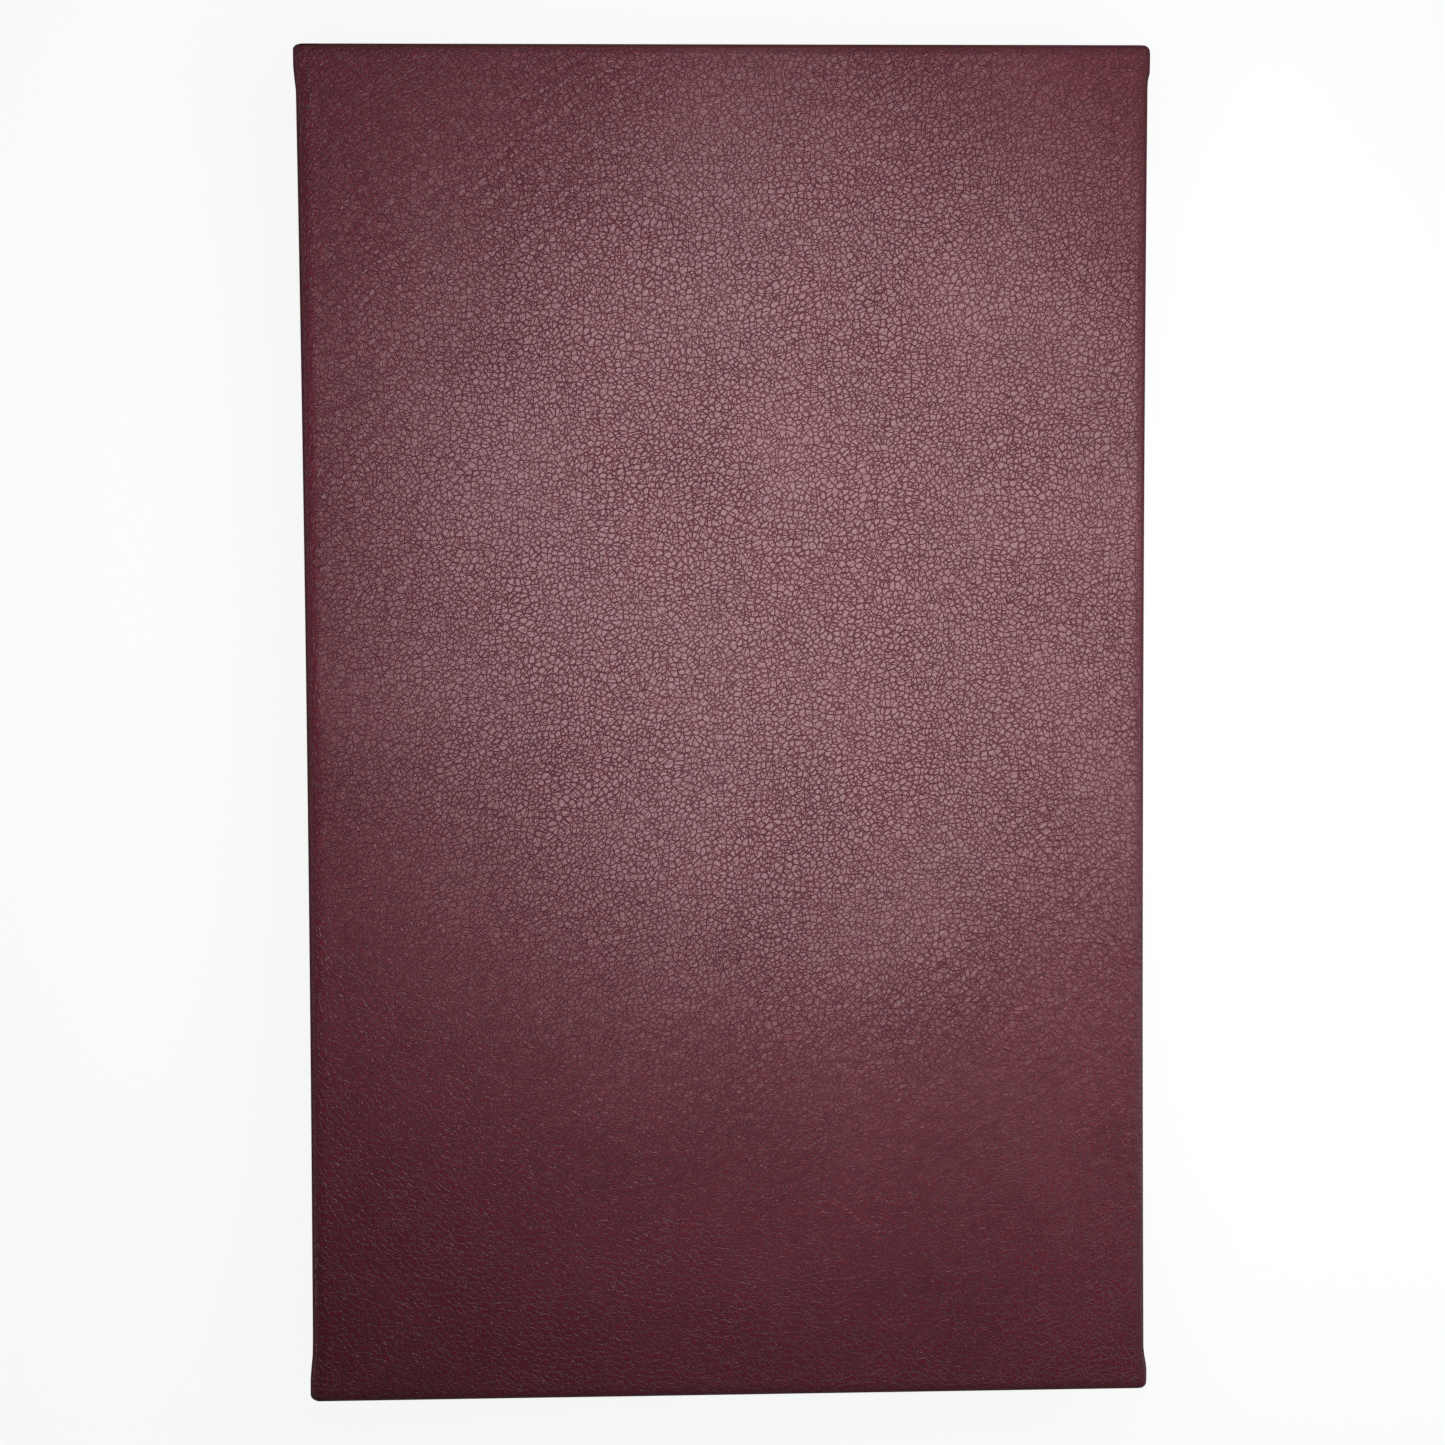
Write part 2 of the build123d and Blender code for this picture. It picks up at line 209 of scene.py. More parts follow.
def corner_reach(size, radius, angle):
    """Distance along a ray from the inner corner to a rounded square corner of that size."""
    if size <= 0:
        return 0.0
    radius = min(max(radius, 0.0), size)
    across, up = math.cos(angle), math.sin(angle)
    flat = size - radius
    if size * up / max(across, 1e-9) <= flat:
        return size / across
    if size * across / max(up, 1e-9) <= flat:
        return size / up
    centre = flat * (across + up)
    return centre + math.sqrt(max(centre * centre - 2 * flat * flat + radius * radius, 0.0))


def corner_fan():
    """Angles from +X to +Y, close together in the middle, where the corner is rounded."""
    half = math.pi / 4
    shares = np.linspace(-1, 1, CORNER_STEPS + 1)
    return [half + half * math.copysign(abs(t) ** 1.8, t) for t in shares]


def cover_path(xs, ys):
    """Stations round the three turned edges: the base point inside them and its outward ray."""
    x_in, y_in = xs[-1], ys[-1]
    fan = corner_fan()
    path = [((x, -y_in), (0.0, -1.0), None) for x in xs[:-1]]
    path += [((x_in, -y_in), (1, -1), angle) for angle in reversed(fan)]
    path += [((x_in, y), (1.0, 0.0), None) for y in ys[1:-1]]
    path += [((x_in, y_in), (1, 1), angle) for angle in fan]
    path += [((x, y_in), (0.0, 1.0), None) for x in reversed(xs[:-1])]
    return path


def cover_skin(name, material, front, seed):
    """The covering of one cover: face, three turned edges and the turn-ins, with folded mitres."""
    xs = spread(X_JOINT, X_FORE - TURN_IN, GRID)
    ys = spread(TURN_IN - HALF_Y, HALF_Y - TURN_IN, GRID)
    path = cover_path(xs, ys)
    profile = edge_profile(WRAP)
    points, sheet, rim = [], [], []
    for inset, down, distance in profile:
        for base, ray, angle in path:
            size = TURN_IN - inset
            if angle is None:
                offset = (ray[0] * size, ray[1] * size)
                outward = ray
                edge = (ray[0] * TURN_IN, ray[1] * TURN_IN)
            else:
                reach = corner_reach(size, CORNER_RADIUS - inset, angle)
                full = corner_reach(TURN_IN, CORNER_RADIUS, angle)
                outward = (ray[0] * math.cos(angle), ray[1] * math.sin(angle))
                offset = (outward[0] * reach, outward[1] * reach)
                edge = (outward[0] * full, outward[1] * full)
            x, y = base[0] + offset[0], base[1] + offset[1]
            lift = 0.0
            if angle is not None and down > WRAP / 2:
                # One turn-in lies over the other at the mitre
                lift = MITRE_LIFT * smooth((angle - math.pi / 4) / MITRE_TURN)
                lift *= smooth((size - TURN_IN + PAPER_BORDER) / MM)
            fade = smooth((x - X_JOINT) / FACE_FADE)
            wave = ripple(x, y, seed) * fade if down < WRAP / 2 else 0.0
            points.append((x, y, THICKNESS - down + wave - lift))
            if distance < 0:
                place = (x, y)
            else:
                place = (base[0] + edge[0] + outward[0] * distance,
                         base[1] + edge[1] + outward[1] * distance)
            sheet.append((place[0] - X_JOINT, place[1], 0.0))
            rim.append(smooth(1 - inset / RIM_WIDTH))
    faces = weave_faces(len(profile), len(path), flip=True)
    first = len(points)
    for y in ys:
        for x in xs:
            fade = smooth((x - X_JOINT) / FACE_FADE)
            points.append((x, y, THICKNESS + ripple(x, y, seed) * fade))
            sheet.append((x - X_JOINT, y, 0.0))
            rim.append(0.0)
    faces += weave_faces(len(ys), len(xs), first=first)
    if not front:
        points = [(x, y, THICKNESS - z) for x, y, z in points]
        faces = [face[::-1] for face in faces]
        sheet = [(-u - SHEET_ROUND_SPINE, v, 0.0) for u, v, _ in sheet]
    points = [settle(p) for p in points]
    piece = new_piece(name, points, faces, {"sheet": sheet, "rim": rim}, material)
    weld(piece)
    return piece


def weld(piece):
    """Joins the points that lie on each other and drops the faces that have no area."""
    work = bmesh.new()
    work.from_mesh(piece.data)
    bmesh.ops.remove_doubles(work, verts=work.verts, dist=WELD_DISTANCE)
    work.to_mesh(piece.data)
    work.free()


def folded_strip(name, material, section, depth):
    """Covering that runs from tail to head along a cross-section and is folded in at both ends.
    The section is a list of (x, z, outward x, outward z, place on the sheet)."""
    profile = edge_profile(depth)
    ys = spread(TURN_IN - HALF_Y, HALF_Y - TURN_IN, GRID)
    rows = [(-HALF_Y + inset, down, -HALF_Y - run if run > 0 else None)
            for inset, down, run in reversed(profile)]
    rows += [(y, 0.0, None) for y in ys[1:-1]]
    rows += [(HALF_Y - inset, down, HALF_Y + run if run > 0 else None)
             for inset, down, run in profile]
    points, sheet, rim = [], [], []
    for y, down, run in rows:
        for x, z, out_x, out_z, place in section:
            points.append(settle((x - out_x * down, y, z - out_z * down)))
            sheet.append((place, y if run is None else run, 0.0))
            rim.append(smooth(1 - (HALF_Y - abs(y)) / RIM_WIDTH))
    faces = weave_faces(len(rows), len(section), flip=True)
    return new_piece(name, points, faces, {"sheet": sheet, "rim": rim}, material)


JOINT_SQUARENESS = 2.5
SHEET_JOINT = JOINT_RADIUS * math.pi / 2
SHEET_SPINE = Z_JOINT - JOINT_RADIUS
SHEET_ROUND_SPINE = 2 * SHEET_JOINT + SHEET_SPINE


def joint_section(front):
    """The rounded hinge corner, from spine to cover: a superellipse, squarer than an arc."""
    section = []
    for i in range(JOINT_STEPS + 1):
        turn = math.pi / 2 * i / JOINT_STEPS
        power = 2 / JOINT_SQUARENESS
        left, up = math.cos(turn) ** power, math.sin(turn) ** power
        if i in (0, JOINT_STEPS):
            left, up = round(left), round(up)
        slope = JOINT_SQUARENESS - 1
        size = math.hypot(left ** slope, up ** slope)
        out_x, out_z = -left ** slope / size, up ** slope / size
        x = X_JOINT - left * JOINT_RADIUS
        run = JOINT_RADIUS * turn
        if front:
            section.append((x, Z_JOINT + up * JOINT_RADIUS, out_x, out_z, run - SHEET_JOINT))
        else:
            section.append((x, JOINT_RADIUS - up * JOINT_RADIUS, out_x, -out_z,
                            -SHEET_JOINT - SHEET_SPINE - run))
    return section if front else section[::-1]


def spine_section():
    """The flat of the spine, from the back cover's joint to the front cover's."""
    heights = spread(JOINT_RADIUS, Z_JOINT, GRID)
    return [(X_SPINE, z, -1.0, 0.0, z - Z_JOINT - SHEET_JOINT) for z in heights]


# ---- Materials ----

class Shader:
    """A material with a Principled surface and a short way to add nodes."""

    def __init__(self, name, **values):
        self.material = bpy.data.materials.new(name)
        self.material.use_nodes = True
        self.tree = self.material.node_tree
        self.surface = self.tree.nodes["Principled BSDF"]
        for socket, value in values.items():
            self.surface.inputs[socket.replace("_", " ")].default_value = value

    def node(self, kind, inputs=(), **settings):
        """A node with its settings, and its inputs as numbers, colours or other sockets."""
        made = self.tree.nodes.new(kind)
        for key, value in settings.items():
            setattr(made, key, value)
        for socket, value in dict(inputs).items():
            if isinstance(value, bpy.types.NodeSocket):
                self.tree.links.new(value, made.inputs[socket])
            else:
                made.inputs[socket].default_value = value
        return made

    def math(self, operation, a, b=0.0, c=0.0):
        made = self.node("ShaderNodeMath", {0: a, 1: b, 2: c}, operation=operation)
        return made.outputs[0]

    def vector(self, operation, a, b=(0, 0, 0)):
        made = self.node("ShaderNodeVectorMath", {0: a, 1: b}, operation=operation)
        return made.outputs[0]

    def ranged(self, value, low, high, to_low=0.0, to_high=1.0, kind="SMOOTHSTEP"):
        """A value taken from one range to another."""
        made = self.node("ShaderNodeMapRange",
                         {0: value, 1: low, 2: high, 3: to_low, 4: to_high},
                         interpolation_type=kind)
        return made.outputs[0]

    def mix(self, share, a, b, blend="MIX"):
        made = self.node("ShaderNodeMix", {0: share, 6: a, 7: b}, data_type="RGBA",
                         blend_type=blend)
        return made.outputs[2]

    def noise(self, place, scale, detail=2.0, rough=0.5, output="Fac"):
        made = self.node("ShaderNodeTexNoise",
                         {"Vector": place, "Scale": scale, "Detail": detail, "Roughness": rough})
        return made.outputs[output]

    def sheet(self, layer="sheet"):
        return self.node("ShaderNodeAttribute", attribute_name=layer)

    def place(self):
        return self.node("ShaderNodeTexCoord").outputs["Object"]

    def link(self, socket, name):
        self.tree.links.new(socket, self.surface.inputs[name])

    def bump(self, height, distance, strength=1.0, normal=None):
        made = self.node("ShaderNodeBump",
                         {"Height": height, "Distance": distance, "Strength": strength})
        if normal is not None:
            self.tree.links.new(normal, made.inputs["Normal"])
        return made.outputs["Normal"]


def rgb(red, green, blue):
    return (red, green, blue, 1.0)


COARSE_CELL = 1.12 * MM           # pebbles between the deep creases
FINE_CELL = 0.92 * MM             # and between the shallow ones that split them
GRAIN_LEAN = math.radians(38)     # the way the shallow creases run, from +X
GRAIN_STRETCH = 1.45


def leatherette():
    """Pebble-grained burgundy leatherette: flat pebbles in a net of thin creases, with painted shade
    darkening the creases.
    """
    s = Shader("burgundy_leatherette", Roughness=0.5, IOR=1.47)
    place = s.sheet().outputs["Vector"]
    rim = s.sheet("rim").outputs["Fac"]

    def bent(base, size, amount):
        """Coordinates pushed about by noise of that size."""
        push = s.noise(base, 1 / size, 2.0, output="Color")
        push = s.vector("SUBTRACT", push, (0.5, 0.5, 0.5))
        return s.vector("ADD", base, s.vector("MULTIPLY", push, (amount, amount, 0)))

    drift = bent(place, 14 * MM, 4 * MM)
    coarse = bent(drift, 1.0 * MM, 0.42 * MM)
    lean = s.node("ShaderNodeVectorRotate", {"Vector": bent(drift, 1.0 * MM, 0.35 * MM),
                                             "Angle": -GRAIN_LEAN}, rotation_type="Z_AXIS")
    fine = s.vector("MULTIPLY", lean.outputs[0],
                    (1 / GRAIN_STRETCH, GRAIN_STRETCH ** 0.5, 1.0))

    def cells(base, size, feature, output):
        made = s.node("ShaderNodeTexVoronoi", {"Vector": base, "Scale": 1 / size},
                      voronoi_dimensions="2D", feature=feature)
        return made.outputs[output]

    edge = "DISTANCE_TO_EDGE"
    def worn(line, low, high, seed):
        """A crease that is faint in some places and full in others."""
        where = s.vector("ADD", place, (seed, seed, 0))
        share = s.ranged(s.noise(where, 1 / (1.9 * MM), 1.0), 0.36, 0.62, low, high)
        return s.math("SUBTRACT", 1.0, s.math("MULTIPLY", s.math("SUBTRACT", 1.0, line), share))

    deep = s.ranged(cells(coarse, COARSE_CELL, edge, "Distance"), 0.0, 0.105)
    deep = worn(deep, 0.72, 1.0, 0.3)
    thin = s.ranged(cells(fine, FINE_CELL, edge, "Distance"), 0.0, 0.11)
    thin = worn(thin, 0.2, 0.85, 0.7)
    tone = s.node("ShaderNodeSeparateColor",
                  {"Color": cells(fine, FINE_CELL, "F1", "Color")}).outputs[0]
    pores = s.noise(place, 1 / (0.3 * MM), 2.0, 0.65)
    crease = s.math("MULTIPLY", deep, thin)

    folds = s.noise(s.vector("MULTIPLY", lean.outputs[0], (0.4, 1.2, 1.0)), 1 / (1.5 * MM), 1.0)
    height = s.math("MULTIPLY_ADD", tone, 0.16, crease)
    height = s.math("MULTIPLY_ADD", folds, 0.9, height)
    height = s.math("MULTIPLY_ADD", pores, 0.12, height)
    depth = s.ranged(s.noise(place, 1 / (30 * MM), 1.0), 0.3, 0.7, 0.65, 1.25, "LINEAR")
    depth = s.math("MULTIPLY", depth, s.ranged(rim, 0.0, 1.0, 1.0, 0.3))
    height = s.math("MULTIPLY", height, depth)
    s.link(s.bump(height, 0.12 * MM, 0.85), "Normal")

    # Painted shade: the creases get a darker colour than the pebble tops.
    base = s.mix(crease, rgb(0.052, 0.0066, 0.0128), rgb(0.106, 0.0120, 0.0240))
    cloud = s.noise(place, 1 / (21 * MM), 3.0)
    base = s.mix(s.ranged(cloud, 0.3, 0.7), base,
                 s.mix(1.0, base, rgb(0.90, 0.84, 0.86), "MULTIPLY"))
    # Painted shade: the leatherette's colour darkens beside its edges and ends.
    base = s.mix(rim, base, s.mix(1.0, base, rgb(0.62, 0.55, 0.55), "MULTIPLY"))
    s.link(base, "Base Color")
    rough = s.ranged(crease, 0.0, 1.0, 0.68, 0.32, "LINEAR")
    rough = s.math("MULTIPLY_ADD", s.math("SUBTRACT", pores, 0.5), 0.2, rough)
    s.link(s.math("MULTIPLY_ADD", rim, 0.22, rough), "Roughness")
    return s.material


def nickel():
    """Bright nickel plate over rolled steel, with faint drawing lines and handling haze."""
    s = Shader("nickel_plate", Metallic=1.0, Roughness=0.2)
    place = s.place()
    lines = s.noise(s.vector("MULTIPLY", place, (1.0, 0.06, 1.0)), 1 / (0.35 * MM), 3.0, 0.6)
    haze = s.noise(place, 1 / (9 * MM), 3.0)
    s.link(s.mix(s.ranged(haze, 0.35, 0.7), rgb(0.80, 0.78, 0.73), rgb(0.70, 0.68, 0.64)),
           "Base Color")
    rough = s.ranged(haze, 0.3, 0.75, 0.13, 0.26, "LINEAR")
    s.link(s.math("MULTIPLY_ADD", s.math("SUBTRACT", lines, 0.5), 0.12, rough), "Roughness")
    s.link(s.bump(lines, 0.004 * MM, 0.5), "Normal")
    return s.material


def blade_steel():
    """Plain spring steel with rolling lines and a faint oil stain."""
    s = Shader("spring_steel", Metallic=1.0, Roughness=0.32)
    place = s.place()
    lines = s.noise(s.vector("MULTIPLY", place, (1.0, 0.04, 1.0)), 1 / (0.3 * MM), 3.0, 0.65)
    stain = s.noise(place, 1 / (14 * MM), 4.0)
    s.link(s.mix(s.ranged(stain, 0.4, 0.7), rgb(0.52, 0.52, 0.53), rgb(0.42, 0.40, 0.37)),
           "Base Color")
    s.link(s.ranged(lines, 0.2, 0.8, 0.26, 0.42, "LINEAR"), "Roughness")
    s.link(s.bump(lines, 0.006 * MM, 0.6), "Normal")
    return s.material


def greyboard():
    """Bare recycled board with fibres and flecks."""
    s = Shader("greyboard", Roughness=0.92)
    place = s.place()
    fibre = s.noise(s.vector("MULTIPLY", place, (1.0, 0.5, 2.4)), 1 / (0.5 * MM), 4.0, 0.7)
    fleck = s.ranged(s.noise(place, 1 / (0.9 * MM), 1.0), 0.66, 0.72)
    base = s.mix(s.ranged(fibre, 0.3, 0.7), rgb(0.23, 0.20, 0.165), rgb(0.33, 0.295, 0.25))
    s.link(s.mix(fleck, base, rgb(0.12, 0.10, 0.085)), "Base Color")
    s.link(s.bump(fibre, 0.05 * MM, 0.7), "Normal")
    return s.material


def endpaper():
    """Black lining paper with a fine linen emboss and soft rubbed patches."""
    s = Shader("endpaper", Roughness=0.7)
    place = s.place()
    thread = 0.42 * MM
    warp = s.noise(s.vector("MULTIPLY", place, (1.0, 0.12, 1.0)), 1 / thread, 2.0, 0.55)
    weft = s.noise(s.vector("MULTIPLY", place, (0.12, 1.0, 1.0)), 1 / thread, 2.0, 0.55)
    linen = s.math("ADD", warp, weft)
    rub = s.noise(place, 1 / (24 * MM), 4.0, 0.6)
    base = s.mix(s.ranged(linen, 0.7, 1.3), rgb(0.011, 0.010, 0.011), rgb(0.024, 0.022, 0.023))
    s.link(s.mix(s.ranged(rub, 0.45, 0.75, 0.0, 0.5), base, rgb(0.036, 0.033, 0.034)),
           "Base Color")
    s.link(s.ranged(rub, 0.3, 0.7, 0.74, 0.6, "LINEAR"), "Roughness")
    s.link(s.bump(linen, 0.05 * MM, 0.8), "Normal")
    return s.material


def lining_cloth():
    """Black book cloth for the spine lining and the inner joints."""
    s = Shader("lining_cloth", Roughness=0.85, Sheen_Weight=0.25, Sheen_Roughness=0.5)
    place = s.sheet().outputs["Vector"]

    def threads(direction):
        made = s.node("ShaderNodeTexWave",
                      {"Vector": place, "Scale": 0.32 / (0.6 * MM), "Distortion": 0.8,
                       "Detail": 1.0, "Detail Scale": 2.0},
                      bands_direction=direction)
        return made.outputs["Fac"]

    weave = s.math("ADD", threads("X"), threads("Y"))
    worn = s.noise(place, 1 / (16 * MM), 3.0)
    base = s.mix(s.ranged(weave, 0.4, 1.7), rgb(0.008, 0.0075, 0.008), rgb(0.026, 0.024, 0.025))
    s.link(s.mix(s.ranged(worn, 0.4, 0.8, 0.0, 0.4), base, rgb(0.045, 0.040, 0.040)),
           "Base Color")
    s.link(s.bump(weave, 0.08 * MM, 0.9), "Normal")
    return s.material


def vinyl_film(name, alpha):
    """Clear soft vinyl: glossy, a little bluish, frosted where it is welded or cut."""
    s = Shader(name, Roughness=0.14, IOR=1.53, Alpha=alpha)
    place = s.place()
    frost = s.sheet("frost").outputs["Fac"]
    wave = s.noise(place, 1 / (13 * MM), 2.0)
    haze = s.noise(place, 1 / (5 * MM), 4.0, 0.65)
    tint = s.mix(s.ranged(haze, 0.4, 0.7), rgb(0.78, 0.85, 0.87), rgb(0.88, 0.92, 0.93))
    s.link(s.mix(frost, tint, rgb(0.97, 0.98, 0.98)), "Base Color")
    rough = s.ranged(haze, 0.35, 0.75, 0.09, 0.22, "LINEAR")
    s.link(s.math("MULTIPLY_ADD", frost, 0.28, rough), "Roughness")
    fine = s.bump(haze, 0.01 * MM, 0.4)
    s.link(s.bump(wave, 0.3 * MM, 0.5, normal=fine), "Normal")
    return s.material


LEATHER = leatherette()
NICKEL = nickel()
STEEL = blade_steel()
BOARD = greyboard()
PAPER = endpaper()
CLOTH = lining_cloth()
FILM = vinyl_film("clear_vinyl", 0.075)
WELDED_FILM = vinyl_film("welded_vinyl", 0.42)

# ---- The covering of the case ----

front_skin = cover_skin("front_cover_leatherette", LEATHER, True, 3.0)
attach(front_skin, "front_cover")
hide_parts("front_leatherette")

back_skin = cover_skin("back_cover_leatherette", LEATHER, False, 41.0)
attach(back_skin, "back_cover")
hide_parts("back_leatherette")

spine_skin = folded_strip("spine_covering", LEATHER, spine_section(), WRAP)
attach(spine_skin, "spine")
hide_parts("spine_leatherette")

front_joint = folded_strip("front_joint_covering", LEATHER, joint_section(True), JOINT_FOLD)
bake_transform(front_joint, "spine", "front_cover", start=(X_SPINE, 0, Z_JOINT),
         end=(X_JOINT, 0, THICKNESS))

back_joint = folded_strip("back_joint_covering", LEATHER, joint_section(False), JOINT_FOLD)
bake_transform(back_joint, "spine", "back_cover", start=(X_SPINE, 0, JOINT_RADIUS),
         end=(X_JOINT, 0, 0))

# ---- Linings ----

PAPER_SHEET = paper_high.z - Z_JOINT + (Z_JOINT - paper_low.z) - SKIN
STEP_SLOPE = 1.6 * MM


def endpaper_sheet(name, front):
    """A lining sheet that lies on the board and climbs softly over the turn-ins."""
    left, right, top = paper_low.x, paper_high.x, paper_high.y
    step_x, step_y = X_FORE - TURN_IN, HALF_Y - TURN_IN
    lip = 0.18 * MM

    def stations(low, high, *steps):
        values = set(np.round(spread(low, high, 5 * MM), 7))
        for step in steps:
            values |= set(np.round(np.linspace(step - 2.4 * MM, step + 2.4 * MM, 9), 7))
        values |= {round(low + lip, 7), round(high - lip, 7)}
        return sorted(v for v in values if low <= v <= high)

    xs = stations(left, right, step_x)
    ys = stations(-top, top, step_y, -step_y)
    points = []
    for y in ys:
        for x in xs:
            over = max(smooth((x - step_x) / STEP_SLOPE + 0.5),
                       smooth((abs(y) - step_y) / STEP_SLOPE + 0.5))
            border = min(right - x, top - abs(y), x - left)
            sink = lip * smooth(1 - border / lip)
            z = Z_JOINT - PAPER_SHEET - over * SKIN + sink + 0.3 * ripple(x, y, 90.0)
            points.append((x, y, z if front else THICKNESS - z))
    rows, columns = len(ys), len(xs)
    faces = weave_faces(rows, columns, flip=front)
    # The cut edge of the sheet
    border = [i for i in range(columns)]
    border += [r * columns + columns - 1 for r in range(1, rows)]
    border += [(rows - 1) * columns + i for i in range(columns - 2, -1, -1)]
    border += [r * columns for r in range(rows - 2, 0, -1)]
    first = len(points)
    lift = PAPER_SHEET if front else -PAPER_SHEET
    points += [(points[i][0], points[i][1], points[i][2] + lift) for i in border]
    for i, vertex in enumerate(border):
        after = (i + 1) % len(border)
        quad = (vertex, border[after], first + after, first + i)
        faces.append(quad if front else quad[::-1])
    piece = new_piece(name, points, faces, {}, PAPER)
    return piece


front_lining = endpaper_sheet("front_endpaper_sheet", True)
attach(front_lining, "front_cover")
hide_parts("front_endpaper")
back_lining = endpaper_sheet("back_endpaper_sheet", False)
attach(back_lining, "back_cover")
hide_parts("back_endpaper")

LINING_OVERLAP = 4 * MM           # of the lining cloth on each side of a hinge corner
CLOTH_RISE = liner_high.x - X_JOINT
CLOTH_SETTLE = 0.18 * MM          # how much lower the cloth lies on the cover
JOINT_EDGE = 1.8 * MM             # from the hinge corner to where the bend begins
JOINT_STEP = 0.45 * MM
CLOTH_STEP = 4 * MM
TURN_IN_OVERLAP = 1.2 * MM        # of the leatherette turned in across a hinge corner
TURN_IN_RISE = 0.08 * MM
# Its head and tail ends: inset from the case's end, and drop from the inner face, in mm
TURN_IN_END = ((3.0, 0.0), (1.4, 0.0), (0.6, 0.06), (0.25, 0.25), (0.05, 0.7),
               (0.03, 1.5), (0.03, 2.3), (0.2, 2.9))


def cloth_strip(name, section):
    """A strip of lining cloth along the album: section is a list of (x, z, place on the cloth).

    The place runs across the cloth as it was cut, so it gives the flat width of a folded strip.
    """
    ys = spread(liner_low.y, liner_high.y, CLOTH_STEP)
    points = [(x, y, z) for y in ys for x, z, place in section]
    sheet = [(place, y, 0.0) for y in ys for x, z, place in section]
    faces = weave_faces(len(ys), len(section))
    piece = new_piece(name, points, faces, {"sheet": sheet}, CLOTH)
    return piece


def folded_place(open_place, axis, start, end, front):
    """Where a point of the flat, open inner joint lies once the album is closed."""
    low, high = 0.0, 1.0
    for _ in range(40):
        share = (low + high) / 2
        turn = -share * math.pi / 2
        x = open_place[0] * math.cos(turn) - open_place[1] * math.sin(turn)
        z = open_place[0] * math.sin(turn) + open_place[1] * math.cos(turn)
        along = (x + axis[0] - start[0]) * (end[0] - start[0])
        along += (z + axis[1] - start[1]) * (end[1] - start[1])
        along /= (end[0] - start[0]) ** 2 + (end[1] - start[1]) ** 2
        if smooth(along) > share:
            low = share
        else:
            high = share
    z += axis[1]
    return (x + axis[0], z if front else THICKNESS - z)


JOINT_SLACK = JOINT_RADIUS * math.sqrt(0.5)
JOINT_AXIS = (X_JOINT - JOINT_SLACK, Z_JOINT + JOINT_SLACK)


def inner_joint_ends(front):
    """Where an inner joint begins, on the spine, and ends, on the cover."""
    start = (X_JOINT + CLOTH_RISE, Z_JOINT - JOINT_EDGE)
    end = (X_JOINT + JOINT_EDGE, Z_JOINT - CLOTH_RISE)
    if front:
        return start, end
    return tuple((x, THICKNESS - z) for x, z in (start, end))


def blend_inner_joint(piece, front):
    """Bends a piece of an inner joint between the spine and its cover."""
    start, end = inner_joint_ends(front)
    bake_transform(piece, "spine", "front_cover" if front else "back_cover",
             start=(start[0], 0, start[1]), end=(end[0], 0, end[1]))


def joint_turn_in(name, front):
    """The leatherette turned in across an inner joint, past each end of the lining."""
    reach = JOINT_SLACK + TURN_IN_OVERLAP
    runs = spread(-reach, reach, JOINT_STEP)
    start, end = inner_joint_ends(True)
    profile = [(liner_high.y - 0.2 * MM, 0.0)]
    profile += [(HALF_Y - inset * MM, drop * MM) for inset, drop in TURN_IN_END]
    ends = ([(-y, drop) for y, drop in reversed(profile)], profile)
    points, sheet, rim, faces = [], [], [], []
    for rows in ends:
        first = len(points)
        for y, drop in rows:
            for run in runs if front else runs[::-1]:
                rise = TURN_IN_RISE - drop
                x, z = folded_place((JOINT_SLACK + rise, run), JOINT_AXIS, start, end, front)
                points.append((x, y, z))
                sheet.append((run, y + math.copysign(drop, y), 0.0))
                rim.append(smooth(1 - (HALF_Y - abs(y)) / RIM_WIDTH))
        woven = weave_faces(len(rows), len(runs))
        faces += [tuple(first + i for i in face) for face in woven]
    piece = new_piece(name, points, faces, {"sheet": sheet, "rim": rim}, LEATHER)
    blend_inner_joint(piece, front)


def gutter(name, front):
    """The lining across an inner joint: flat when the album is open, tucked in when it is shut."""
    start, end = inner_joint_ends(True)
    reach = JOINT_SLACK + LINING_OVERLAP
    section = []
    for run in spread(-reach, reach, JOINT_STEP):
        rise = CLOTH_RISE - CLOTH_SETTLE * smooth(run / reach + 0.5)
        x, z = folded_place((JOINT_SLACK + rise, run), JOINT_AXIS, start, end, front)
        section.append((x, z, run))
    if not front:
        section.reverse()
    piece = cloth_strip(name, section)
    blend_inner_joint(piece, front)


gutter("front_inner_joint", True)
gutter("back_inner_joint", False)
joint_turn_in("front_joint_turn_in", True)
joint_turn_in("back_joint_turn_in", False)
lining_z = spread(JOINT_RADIUS + LINING_OVERLAP, Z_JOINT - LINING_OVERLAP, 3 * MM)
spine_lining = cloth_strip("spine_lining", [(liner_high.x, z, z) for z in lining_z])
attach(spine_lining, "spine")
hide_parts("spine_liner")

# ---- Leaves ----

LEAF_COUNT = 10
LEAF_SEED = 5.3                   # apart, so that no two leaves have the same wave
FILM_THICKNESS = 0.25 * MM
STRIP_WIDTH = 16 * MM
STRIP_THICKNESS = 0.6 * MM
POCKET_GAP = 0.5 * MM
WELD = 1.2 * MM
POCKET_ROWS = 4
MOUTH_GAP = 2.5 * MM
THUMB_RADIUS = 9 * MM
PUNCH_RADIUS = 4 * MM
PUNCH_MARGIN = 7.5 * MM
RING_PITCH = 70 * MM
LEAF_WAVE = 0.17 * MM
WAVE_ACROSS, WAVE_ALONG = 55 * MM, 48 * MM
WAVE_START = 25 * MM              # from the punched strip to the full wave
STRIP_CORNER = 2 * MM
STRIP_OVERLAP = 0.8 * MM          # of the back film on the punched strip
STRIP_FROST = 0.35
HOLE_STEPS = 40
FILM_STEP_X, FILM_STEP_Y = 3.4 * MM, 4 * MM
WELD_BEAD = 1.4                   # height of a weld line, in film thicknesses
WELD_FADE = 0.5 * MM              # frosted border of a weld
